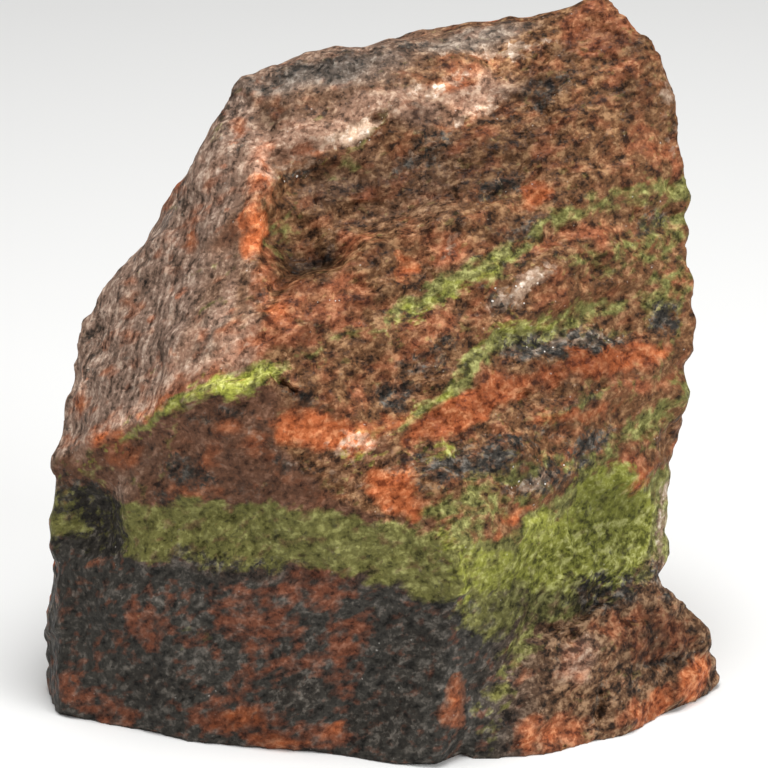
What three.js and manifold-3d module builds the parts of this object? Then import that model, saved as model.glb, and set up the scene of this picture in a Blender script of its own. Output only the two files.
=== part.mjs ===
// A rough, broken lump of unakite that fills a palm. It is one solid stone, standing on a flat break.
// Millimetres, +Z up, the front towards -Y. The origin is the middle of the base.

import * as THREE from 'three';
import { ConvexGeometry } from 'three/addons/geometries/ConvexGeometry.js';
import { ImprovedNoise } from 'three/addons/math/ImprovedNoise.js';
import { mergeVertices } from 'three/addons/utils/BufferGeometryUtils.js';
import Module from 'manifold-3d';

// Driving dimensions of the stone
const WIDTH = 65; // left to right, X
const DEPTH = 46; // front to back, Y
const HEIGHT = 64; // base to peak, Z

// Surface of the stone
const FACET_EDGE = 2.6; // longest triangle edge on the weathered surface
const SPLIT_STEP = 0.9; // how fast the splitting of long edges works down to that
const LEVEL = 0.9995; // faces whose directions agree this well are one flat facet
const LUMPS = [
  { span: 14, height: 0.8 },
  { span: 6, height: 0.6 },
];
const LEDGE_PITCH = 7; // spacing of the broken layers
const LEDGE_DEPTH = 0.8; // how far one layer stands out over the next, at most
const LEDGE_LIP = 0.25; // share of the pitch taken by the step itself
const LEDGE_WANDER = 0.5; // how many layers an edge strays by
const LEDGE_SPAN = 16; // distance over which the ledges stray and fade
const LEDGE_FADE = { gone: -0.2, full: 0.4 }; // noise levels where the ledges are smoothed away and whole
const LEDGE_FADE_SHIFT = 16; // keeps the fading apart from the straying
const LAYER_NORMAL = new THREE.Vector3(-0.46, 0.35, 1).normalize(); // the layers dip to the left and back

// Corners of the main block, in percent of width, depth and height from the middle of the base.
// The foot's corners lie a little under the base, which is then cut flat.
const BODY_CORNERS = {
  // crest between the left slope and the front wall
  crestLeft: [-48.8, -15, 37],
  crestMiddle: [-31, -31, 51.5],
  knee: [-16.5, -37, 56],
  frontCorner: [10.5, -49, 32.5],
  // far edge of the left slope, going up
  slopeLow: [-45.6, -4.5, 50.5],
  slopeMiddle: [-42, -0.5, 58],
  slopeTop: [-21.3, 11, 92.8],
  ribTop: [-19, 4.5, 89.5],
  // flat strip along the top, and the peak at its right end
  topMiddle: [4, 26, 96],
  topRight: [24.5, 28.5, 99.4],
  browMiddle: [2.5, 8.5, 90.8],
  browRight: [24.5, 18.5, 97],
  peak: [33.5, 25, 101],
  peakRight: [40.8, 17.5, 94],
  // right edge of the large front face, going down
  rightHigh: [44, 11, 82],
  rightShoulder: [45, 6.5, 75],
  rightMiddle: [45.5, -4.5, 55],
  rightLow: [43.4, -10, 47],
  rightCorner: [38.2, -18.5, 36],
  rightFoot: [37.6, -20, -4],
  // foot of the front wall and the left side
  frontFoot: [7, -50, -4],
  wallFoot: [-28, -38.4, -4],
  leftFoot: [-47.4, -26.5, -4],
  leftHeel: [-50.3, -12, -4],
  // broken back
  backTopLeft: [-14, 33, 86],
  backTopRight: [27, 40, 90],
  backRightMiddle: [39, 26, 60],
  backRightLow: [35, 38, 30],
  backMiddle: [2, 49, 40],
  backLeftMiddle: [-35, 25, 52],
  backLeftLow: [-43, 22, 26],
  backFootLeft: [-38, 32, -4],
  backFootMiddle: [0, 50, -4],
  backFootRight: [30, 40, -4],
};

// Corners of the toe that juts out at the right of the foot
const TOE_CORNERS = {
  junctionRight: [39.2, -19.5, 21],
  junctionMiddle: [31.5, -29.5, 19],
  junctionLeft: [21, -39, 15],
  junctionFoot: [13, -45, 6],
  toeFoot: [12, -49, -4],
  toeFront: [25, -47, -4],
  toeMiddle: [34.5, -39, -4],
  toeSide: [46, -20, -4],
  toeTip: [50.8, -11, 1.5],
  toeTipFoot: [49, -9, -4],
  toeTop: [46.5, -13, 11],
  toeBack: [45, 8, 4],
  toeBackFoot: [37, 26, -4],
  toeRoot: [10, 0, 2],
};

// Scars where flakes broke off. The rim's corners are on the block, and the floor's corners are points
// of the block with the depth in millimetres that the scar has there. Turn is how many degrees the scar
// faces to the right of the front, and rise is how many degrees it faces upwards.
const SCARS = {
  scoopUnderBrow: {
    turn: 6,
    rise: 41,
    rim: [
      [-17, -1.5, 83.5], [-6.5, -2, 82.5], [2.5, 4, 87], [12.5, 1, 84],
      [11, -9.5, 75], [-8, -22, 67.5], [-17, -24.5, 66],
    ],
    floor: [
      { at: [-12, -6.5, 79.5], depth: 2.2 },
      { at: [-12, -19, 69.5], depth: 2.8 },
      { at: [2, -8, 77], depth: 1.4 },
    ],
  },
  stepUnderVein: {
    turn: 22,
    rise: 28,
    rim: [
      [15, -22, 60], [23, -17, 62.5], [34, -9, 64], [44.5, 0.5, 65],
      [12, -28, 55], [25.5, -20.5, 56.5], [44.5, -4, 57],
    ],
    floor: [
      { at: [18, -22, 59.5], depth: 1.3 },
      { at: [36, -9, 62.5], depth: 1.1 },
    ],
  },
  breakOverWall: {
    turn: 0,
    rise: 24,
    rim: [[-16.5, -37, 54], [-10, -34.5, 57], [2, -37, 49], [10, -47, 34]],
    floor: [
      { at: [-14.5, -38.5, 47.5], depth: 0.4 },
      { at: [-6.5, -42, 40], depth: 0.4 },
      { at: [2.5, -45.5, 36], depth: 0.4 },
    ],
  },
  stepOnRightWall: {
    turn: 36,
    rise: 1,
    rim: [[27, -31.5, 37], [40, -19, 37], [40, -19, 21], [27, -31.5, 23]],
    floor: [
      { at: [28, -31, 34], depth: 0.9 },
      { at: [28, -31, 25], depth: 0.9 },
    ],
  },
  chipAtLeft: {
    turn: -40,
    rise: 6,
    rim: [[-47, -16.5, 35.5], [-38, -25.5, 38.5], [-36.5, -29, 29], [-40, -26.5, 25], [-48, -17.5, 24]],
    floor: [{ at: [-42, -23, 30.5], depth: 1.5 }],
  },
  flakeFromSlope: {
    turn: -72,
    rise: 28,
    rim: [[-38, 1.8, 63.5], [-31.5, -3.5, 69], [-25.5, 3.5, 82.5], [-22.5, 10, 90], [-28, 20, 78], [-33, 16, 68]],
    floor: [
      { at: [-32, 5.2, 74.5], depth: 1.2 },
      { at: [-27.5, 7.5, 82], depth: 1.4 },
    ],
  },
  flakeFromBack: {
    turn: 186,
    rise: 12,
    rim: [[-17, 33, 82], [18, 43, 80], [12, 48, 50], [-26, 33, 50]],
    floor: [
      { at: [-6, 40, 72], depth: 2.2 },
      { at: [-4, 44, 58], depth: 2.6 },
    ],
  },
  flakeFromRight: {
    turn: 102,
    rise: 8,
    rim: [[43, 4, 66], [38, 27, 62], [36, 36, 34], [41, -6, 32]],
    floor: [
      { at: [40, 10, 56], depth: 1.6 },
      { at: [38, 18, 42], depth: 2.2 },
    ],
  },
};
const RIM_LIFT = 0.4; // the cut starts this far over the rim, so that it runs out cleanly
const CUT_REACH = 12; // and ends this far over it

const wasm = await Module();
wasm.setup();
const noise = new ImprovedNoise();

// Point of the stone given in percent of its width, depth and height.
function place([x, y, z]) {
  return new THREE.Vector3((x * WIDTH) / 100, (y * DEPTH) / 100, (z * HEIGHT) / 100);
}

function solidOf(geometry) {
  const bare = geometry.clone();
  bare.deleteAttribute('normal');
  bare.deleteAttribute('uv');
  const merged = mergeVertices(bare);
  return new wasm.Manifold(
    new wasm.Mesh({
      numProp: 3,
      vertProperties: merged.attributes.position.array,
      triVerts: new Uint32Array(merged.index.array),
    }),
  );
}

function geometryOf(solid) {
  const mesh = solid.getMesh();
  return new THREE.BufferGeometry()
    .setAttribute('position', new THREE.BufferAttribute(mesh.vertProperties, 3))
    .setIndex(new THREE.BufferAttribute(mesh.triVerts, 1));
}

function blockOf(corners) {
  return solidOf(new ConvexGeometry(Object.values(corners).map(place)));
}

// Wedge that clears away what lay over a scar.
function scarWedge({ turn, rise, rim, floor }) {
  const outward = new THREE.Vector3(0, -1, 0)
    .applyAxisAngle(new THREE.Vector3(-1, 0, 0), THREE.MathUtils.degToRad(rise))
    .applyAxisAngle(new THREE.Vector3(0, 0, 1), THREE.MathUtils.degToRad(turn));
  const over = (corner, height) => place(corner).addScaledVector(outward, height);
  const corners = [
    ...rim.map((corner) => over(corner, RIM_LIFT)),
    ...rim.map((corner) => over(corner, CUT_REACH)),
    ...floor.map(({ at, depth }) => over(at, -depth)),
  ];
  return solidOf(new ConvexGeometry(corners));
}

// Splits edges at their middles, the longest first, until none is longer than the limit.
function refine(geometry, limit) {
  const { position } = geometry.attributes;
  const points = [];
  for (let i = 0; i < position.count; i += 1) {
    points.push(new THREE.Vector3().fromBufferAttribute(position, i));
  }
  let faces = [];
  for (let i = 0; i < geometry.index.count; i += 3) {
    faces.push([i, i + 1, i + 2].map((corner) => geometry.index.getX(corner)));
  }
  for (let reach = HEIGHT; reach > limit; reach = Math.max(limit, reach * SPLIT_STEP)) {
    flipEdges(points, faces);
    const middles = new Map();
    const middle = (a, b) => {
      if (points[a].distanceTo(points[b]) <= reach) return -1;
      const key = Math.min(a, b) + '_' + Math.max(a, b);
      if (!middles.has(key)) middles.set(key, points.push(points[a].clone().lerp(points[b], 0.5)) - 1);
      return middles.get(key);
    };
    faces = faces.flatMap((face) => splitFace(face, middle));
  }
  flipEdges(points, faces);
  return new THREE.BufferGeometry().setFromPoints(points).setIndex(faces.flat());
}

// Turns the edge between two faces of one flat facet where that leaves them less thin.
function flipEdges(points, faces) {
  const owner = new Map();
  faces.forEach((face, index) => face.forEach((a, k) => owner.set(a + '_' + face[(k + 1) % 3], index)));
  const normalOf = (face) => new THREE.Triangle(...face.map((i) => points[i])).getNormal(new THREE.Vector3());
  const angleAt = (i, a, b) => points[a].clone().sub(points[i]).angleTo(points[b].clone().sub(points[i]));
  const turned = new Set();
  faces.forEach((face, index) => {
    for (let k = 0; k < 3; k += 1) {
      const [a, b, c] = [face[k], face[(k + 1) % 3], face[(k + 2) % 3]];
      const other = owner.get(b + '_' + a);
      if (turned.has(index) || turned.has(other)) continue;
      const d = faces[other].find((corner) => corner !== a && corner !== b);
      if (angleAt(c, a, b) + angleAt(d, a, b) <= Math.PI) continue;
      if (normalOf(face).dot(normalOf(faces[other])) < LEVEL) continue;
      faces[index] = [a, d, c];
      faces[other] = [d, b, c];
      turned.add(index).add(other);
    }
  });
}

// One triangle cut at those of its edges that have a middle point.
function splitFace([a, b, c], middle) {
  const ab = middle(a, b);
  const bc = middle(b, c);
  const ca = middle(c, a);
  const count = [ab, bc, ca].filter((m) => m >= 0).length;
  if (count === 0) return [[a, b, c]];
  if (count === 3) return [[a, ab, ca], [ab, b, bc], [ca, bc, c], [ab, bc, ca]];
  if (count === 1) {
    if (ab >= 0) return [[a, ab, c], [ab, b, c]];
    if (bc >= 0) return [[b, bc, a], [bc, c, a]];
    return [[c, ca, b], [ca, a, b]];
  }
  if (ab < 0) return [[c, ca, bc], [ca, a, bc], [a, b, bc]];
  if (bc < 0) return [[a, ab, ca], [ab, b, ca], [b, c, ca]];
  return [[b, bc, ab], [bc, c, ab], [c, a, ab]];
}

function noiseAt(point, span, shift = 0) {
  return noise.noise(point.x / span + shift, point.y / span + shift, point.z / span + shift);
}

// Height of the weathered surface over the clean break at a point.
function relief(point) {
  const lumps = LUMPS.reduce((height, lump) => height + lump.height * noiseAt(point, lump.span), 0);
  const layer = point.dot(LAYER_NORMAL) / LEDGE_PITCH + LEDGE_WANDER * noiseAt(point, LEDGE_SPAN);
  const within = layer - Math.floor(layer);
  const step = within < LEDGE_LIP ? within / LEDGE_LIP : (1 - within) / (1 - LEDGE_LIP);
  const fade = noiseAt(point, LEDGE_SPAN, LEDGE_FADE_SHIFT);
  const strength = THREE.MathUtils.smoothstep(fade, LEDGE_FADE.gone, LEDGE_FADE.full);
  return lumps + LEDGE_DEPTH * strength * (step - 0.5);
}

// Moves every point of the surface out or in by the relief there.
function weather(geometry) {
  geometry.computeVertexNormals();
  const { position, normal } = geometry.attributes;
  const point = new THREE.Vector3();
  const outward = new THREE.Vector3();
  for (let i = 0; i < position.count; i += 1) {
    point.fromBufferAttribute(position, i);
    outward.fromBufferAttribute(normal, i);
    point.addScaledVector(outward, relief(point));
    position.setXYZ(i, point.x, point.y, point.z);
  }
  return geometry;
}

function makeStone() {
  let block = blockOf(BODY_CORNERS).add(blockOf(TOE_CORNERS));
  for (const scar of Object.values(SCARS)) block = block.subtract(scarWedge(scar));
  const weathered = solidOf(weather(refine(geometryOf(block), FACET_EDGE)));
  const below = solidOf(new THREE.BoxGeometry(2 * WIDTH, 2 * DEPTH, HEIGHT).translate(0, 0, -HEIGHT / 2));
  const geometry = geometryOf(weathered.subtract(below));
  geometry.computeBoundingBox();
  const { min, max } = geometry.boundingBox;
  return geometry.translate(-(min.x + max.x) / 2, -(min.y + max.y) / 2, -min.z);
}

const unakite = new THREE.MeshStandardMaterial({ color: 0x7a4c38, roughness: 0.6, metalness: 0 });

const stone = new THREE.Mesh(makeStone(), unakite);
stone.name = 'stone';

const group = new THREE.Group();
group.name = 'unakite_stone';
group.add(stone);

export default group;
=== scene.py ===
import math

import bmesh
import bpy
import numpy as np
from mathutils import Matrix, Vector, noise
from mathutils.bvhtree import BVHTree


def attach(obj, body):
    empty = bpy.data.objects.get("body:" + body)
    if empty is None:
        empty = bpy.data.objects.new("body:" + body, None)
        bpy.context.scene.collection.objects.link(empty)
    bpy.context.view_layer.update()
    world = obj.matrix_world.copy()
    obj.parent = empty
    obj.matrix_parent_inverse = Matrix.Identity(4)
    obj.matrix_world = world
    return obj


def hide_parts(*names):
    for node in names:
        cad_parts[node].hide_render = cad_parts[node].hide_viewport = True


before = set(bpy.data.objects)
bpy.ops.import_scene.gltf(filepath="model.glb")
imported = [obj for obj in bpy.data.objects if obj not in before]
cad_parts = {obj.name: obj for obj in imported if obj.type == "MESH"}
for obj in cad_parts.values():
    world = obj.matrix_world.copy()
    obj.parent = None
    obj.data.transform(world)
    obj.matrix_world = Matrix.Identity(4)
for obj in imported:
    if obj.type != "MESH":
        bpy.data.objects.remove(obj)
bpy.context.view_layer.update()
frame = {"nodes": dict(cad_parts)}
scene = bpy.context.scene
mm = 0.001
print("frame loaded:", ", ".join(frame["nodes"]))

shot = {
    "rise": 20,  # degrees that the camera looks down
    "target": (0.1, 0, 29.6),  # mm
    "distance": 420,  # mm
    "pixel": 0.096,  # mm of stone that a pixel covers at the target
    "picture": 768,  # pixels across
    "sensor": 36,  # mm
    "clip": (10, 10000),  # mm
    "moveIn": 0.02,  # share of the way to the middle that a pixel beside the stone is moved at a time
}
shotRise = math.radians(shot["rise"])
shotBack = Vector((0, -math.cos(shotRise), math.sin(shotRise)))  # from the stone to the camera
shotRight = Vector((1, 0, 0))
shotUp = Vector((0, math.sin(shotRise), math.cos(shotRise)))
shotPlace = Vector(shot["target"]) + shotBack * shot["distance"]


def makeCamera():
    data = bpy.data.cameras.new("camera")
    data.sensor_width = shot["sensor"]
    data.lens = shot["sensor"] * shot["distance"] / (shot["pixel"] * shot["picture"])
    data.clip_start, data.clip_end = [end * mm for end in shot["clip"]]
    camera = bpy.data.objects.new("camera", data)
    camera.location = shotPlace * mm
    camera.rotation_euler = (math.pi / 2 - shotRise, 0, 0)
    scene.collection.objects.link(camera)
    scene.camera = camera


studio = {
    "world": 0.32,  # brightness of the white room
    "floorColor": (0.86, 0.86, 0.85),
    "floorRoughness": 0.9,
    "floorSize": 4000,  # mm
    "aim": (0, 0, 30),  # mm
    "panels": {
        # place in mm, side of the square panel in mm, watts
        "topPanel": ((20, -60, 480), 260, 2.2),
        "rightPanel": ((400, -260, 200), 220, 1.1),
    },
}


def makeStudio():
    scene.view_settings.view_transform = "Standard"
    world = bpy.data.worlds.new("studio")
    world.use_nodes = True
    room = world.node_tree.nodes["Background"]
    room.inputs["Color"].default_value = (1, 1, 1, 1)
    room.inputs["Strength"].default_value = studio["world"]
    scene.world = world
    for name, (place, side, watts) in studio["panels"].items():
        data = bpy.data.lights.new(name, "AREA")
        data.size = side * mm
        data.energy = watts
        panel = bpy.data.objects.new(name, data)
        panel.location = Vector(place) * mm
        panel.rotation_euler = (Vector(place) - Vector(studio["aim"])).to_track_quat("Z", "Y").to_euler()
        scene.collection.objects.link(panel)
    bm = bmesh.new()
    bmesh.ops.create_grid(bm, x_segments=1, y_segments=1, size=studio["floorSize"] / 2 * mm)
    mesh = bpy.data.meshes.new("floor")
    bm.to_mesh(mesh)
    bm.free()
    material = bpy.data.materials.new("paleFloor")
    material.use_nodes = True
    shader = material.node_tree.nodes["Principled BSDF"]
    shader.inputs["Base Color"].default_value = (*studio["floorColor"], 1)
    shader.inputs["Roughness"].default_value = studio["floorRoughness"]
    mesh.materials.append(material)
    floor = bpy.data.objects.new("floor", mesh)
    scene.collection.objects.link(floor)


def facing(turn, rise):  # turn is degrees to the right of the front, rise is degrees above level
    turn = math.radians(turn)
    rise = math.radians(rise)
    return Vector((math.sin(turn) * math.cos(rise), -math.cos(turn) * math.cos(rise), math.sin(rise)))


def smooth(low, high, value):  # 0 at low and 1 at high, with a soft start and end
    share = np.clip((value - low) / (high - low), 0, 1)
    return share * share * (3 - 2 * share)


# the rock's layers dip to the left and back
layers = {
    "rise": Vector((-0.457, 0.353, 1)),  # height of a layer over each mm of x, y and z
    "along": Vector((0.909, 0, 0.416)),  # the way that a layer's edge runs over the front
}
layers["across"] = layers["rise"].normalized()
layers["down"] = layers["across"].cross(layers["along"])

# breaks of the stone: turn and rise in degrees, then the shares that a break has of the relief,
# of the grey film and painted sheen and of the grains' contrast
breaks = {
    "slope": (-55, 32, 0.4, 1.0, 0.8),
    "top": (-4, 58, 0.6, 0.7, 0.9),
    "front": (12, 36, 1.0, 0.0, 0.9),
    "wall": (-16, 2, 0.5, 0.0, 0.6),
    "rightWall": (36, 2, 0.55, 0.0, 0.65),
    "rightSide": (100, 8, 0.8, 0.1, 0.8),
    "back": (186, 12, 0.9, 0.3, 0.8),
    "leftBack": (-120, 10, 0.8, 0.8, 0.8),
}
breakBlend = 18  # how sharply one break's finish gives way to the next

stoneShape = {
    "seed": 7,  # picks how the edges, rims and veins stray, the same in every run
    "voxel": 0.42,  # mm between the points of the fine surface
    "weld": 0.001,  # mm
    "softening": (2, 0.5),  # rounds and strength of the smoothing that takes the steps off the edges
    "wander": ((5.5, 0.55), (2.2, 0.28)),  # sideways straying of the edges: span and reach in mm
    "layerSpan": (9, 2.0),  # mm along and across a layer's ridges
    "layerHeight": 0.55,  # mm, as all the spans, heights and depths
    "lumpSpan": 2.3,
    "lumpHeight": 0.3,
    "octaves": 2,  # steps of detail in the layers and lumps
    "grainSpan": 1.0,
    "grainHeight": 0.14,
    "pitSpan": 1.9,
    "pitShift": (31, 7, 19),  # draws the pits from another place of the noise
    "pitDepth": 0.5,
    "pitLevel": (0.42, 0.8),  # noise levels where a pit starts and is deepest
    "footFade": (0.15, 1.2),  # mm over the base where the relief starts and is whole
}


def fineCopy(node):
    mesh = node.data.copy()
    mesh.materials.clear()
    bm = bmesh.new()
    bm.from_mesh(mesh)
    bmesh.ops.remove_doubles(bm, verts=bm.verts, dist=stoneShape["weld"] * mm)
    bm.to_mesh(mesh)
    bm.free()
    piece = bpy.data.objects.new("unakiteStone", mesh)
    scene.collection.objects.link(piece)
    remesh = piece.modifiers.new("fineSurface", "REMESH")
    remesh.mode = "VOXEL"
    remesh.voxel_size = stoneShape["voxel"] * mm
    depsgraph = bpy.context.evaluated_depsgraph_get()
    piece.data = bpy.data.meshes.new_from_object(piece.evaluated_get(depsgraph))
    piece.modifiers.clear()
    bm = bmesh.new()
    bm.from_mesh(piece.data)
    rounds, strength = stoneShape["softening"]
    for _ in range(rounds):
        bmesh.ops.smooth_vert(
            bm, verts=bm.verts, factor=strength, use_axis_x=True, use_axis_y=True, use_axis_z=True
        )
    bm.to_mesh(piece.data)
    bm.free()
    return piece


def pointsAndNormals(piece):  # in mm, one row for each point of the mesh
    count = len(piece.data.vertices)
    points = np.empty(count * 3)
    normals = np.empty(count * 3)
    piece.data.vertices.foreach_get("co", points)
    piece.data.vertex_normals.foreach_get("vector", normals)
    return points.reshape(count, 3) / mm, normals.reshape(count, 3)


def breakShares(normals):  # how much each point belongs to each break
    weights = {
        name: np.exp(breakBlend * (normals @ np.array(facing(turn, rise)) - 1))
        for name, (turn, rise, *_) in breaks.items()
    }
    total = sum(weights.values())
    return {name: weight / total for name, weight in weights.items()}


def layerPoint(point, spanAlong, spanAcross):
    return Vector((
        point.dot(layers["along"]) / spanAlong,
        point.dot(layers["down"]) / spanAlong,
        point.dot(layers["across"]) / spanAcross,
    ))


def cloudAt(place, octaves):
    fall, step = 1, 2  # each octave is half as high and half as wide as the one before
    return noise.fractal(place, fall, step, octaves)


def reliefAt(point):  # mm, at a point in mm
    inLayer = layerPoint(point, *stoneShape["layerSpan"])
    height = stoneShape["layerHeight"] * cloudAt(inLayer, stoneShape["octaves"])
    height += stoneShape["lumpHeight"] * cloudAt(point / stoneShape["lumpSpan"], stoneShape["octaves"])
    height += stoneShape["grainHeight"] * noise.noise(point / stoneShape["grainSpan"])
    pit = noise.noise(point / stoneShape["pitSpan"] + Vector(stoneShape["pitShift"]))
    return height - stoneShape["pitDepth"] * smooth(*stoneShape["pitLevel"], pit)


def roughen(piece, shares, heights):
    rough = sum(shares[name] * relief for name, (_, _, relief, *_) in breaks.items())
    bm = bmesh.new()
    bm.from_mesh(piece.data)
    bm.normal_update()
    moves = []
    for vert in bm.verts:
        point = vert.co / mm
        move = vert.normal * (reliefAt(point) * rough[vert.index] + heights[vert.index])
        for span, reach in stoneShape["wander"]:
            move += noise.noise_vector(point / span) * reach
        moves.append(move * smooth(*stoneShape["footFade"], point.z) * mm)
    for vert, move in zip(bm.verts, moves):
        vert.co += move
    bm.to_mesh(piece.data)
    bm.free()


# green veins that follow the layers: x, height in the layers and half thickness in mm, share that is green
veins = {
    "crest": (
        (-31, 34.6, 0.1, 0.5), (-26.6, 35.2, 0.2, 0.75), (-23.6, 35.4, 0.3, 0.9), (-21.6, 36.1, 0.5, 1.0),
        (-20, 36.6, 0.7, 1.0), (-17.8, 36.5, 0.7, 1.0), (-14.5, 36.2, 0.65, 1.0), (-11.7, 35.7, 0.7, 1.0),
        (-7.4, 35.4, 0.35, 0.8), (-1, 35.9, 0.3, 0.7),
        (1.5, 36.1, 0.7, 0.9), (5, 36.5, 1.0, 1.0), (9.3, 36.5, 1.0, 0.95), (13, 37.3, 0.9, 0.85),
        (15.9, 38.4, 0.9, 0.8), (22.7, 38.2, 0.9, 0.7), (30, 36.2, 1.3, 0.9),
    ),
    "upperRight": (
        (12, 33.8, -0.3, 0.5), (16.8, 33.3, 0.4, 0.6), (24.6, 32.8, 0.9, 0.7), (30, 32.9, 1.2, 0.85),
    ),
    "front": (
        (-5, 25.9, -0.3, 0.6), (-3.2, 25.7, 0.1, 0.8), (1.8, 24.9, 0.4, 0.9), (5.5, 25.9, 1.0, 1.0),
        (8.3, 28.0, 1.1, 1.0), (13.1, 28.4, 1.1, 0.95), (20.7, 27.9, 0.8, 0.8), (26, 26.8, 0.2, 0.5),
    ),
    "thread": (
        (11, 19.2, -0.3, 0.6), (13.6, 19.4, 0.3, 0.85), (20.6, 19.4, 0.35, 0.85), (25, 18.8, 0.1, 0.7),
        (30, 17.7, 0.2, 0.8),
    ),
    "lowerRight": (
        (4, 13.5, -0.3, 0.7), (9.2, 15.2, 0.6, 0.8), (16.8, 14.5, 0.6, 0.8), (20.6, 12.9, 0.7, 0.85),
        (22.4, 13.6, 0.8, 0.9), (24.5, 14.7, 0.9, 0.9), (27.9, 16.2, 1.0, 0.9), (30, 17.0, 1.0, 0.9),
    ),
}
veinStop = 3  # mm of half thickness taken off past a vein's left end

# thick level band: x, lower and upper edge over the base, all in mm
band = (
    (-30, 16.5, 21.6), (-24, 17.4, 22.2), (-20, 17.7, 22.8), (-14, 18.0, 24.0), (-7.4, 18.3, 24.2),
    (0, 17.4, 23.6), (5.5, 16.6, 22.9), (6.9, 16.2, 22.4), (12.8, 15.2, 22.0), (15.5, 14.6, 23.4),
    (17.6, 14.5, 25.0), (20.4, 15.1, 25.7), (23, 15.2, 24.8), (25.4, 14.6, 23.6), (30, 13.5, 22.5),
)

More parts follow.
